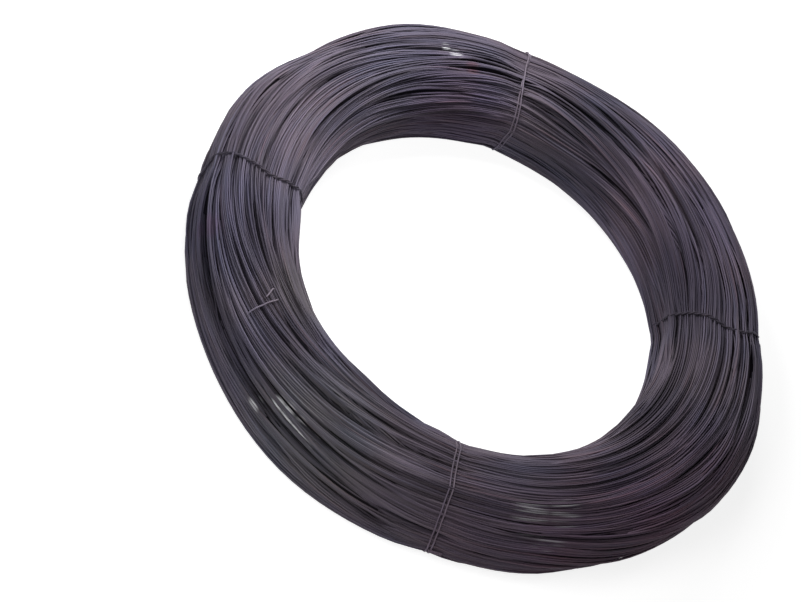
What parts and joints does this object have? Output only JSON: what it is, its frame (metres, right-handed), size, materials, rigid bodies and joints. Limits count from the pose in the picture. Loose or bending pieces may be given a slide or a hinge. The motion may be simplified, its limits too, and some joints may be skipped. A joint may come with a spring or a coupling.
{
  "type": "coil of binding wire",
  "caption": "Round coil of thin soft black binding wire, wound in many loose turns round an open bore and held by doubled wire ties.",
  "frame": {"origin": "on the bore's axis, at the height of the floor that the coil lies on", "axes": "+Z along the bore's axis, upwards; +X and +Y in the floor's plane"},
  "size_m": [0.44, 0.44, 0.0648],
  "materials": {
    "wire": "annealed, black oxide, slightly oily",
    "tie": "annealed, black oxide, slightly oily"
  },
  "bodies": {
    "root": {"wire_coil": "wire", "tie_1": "tie", "tie_2": "tie", "tie_3": "tie", "tie_4": "tie"}
  },
  "joints": []
}
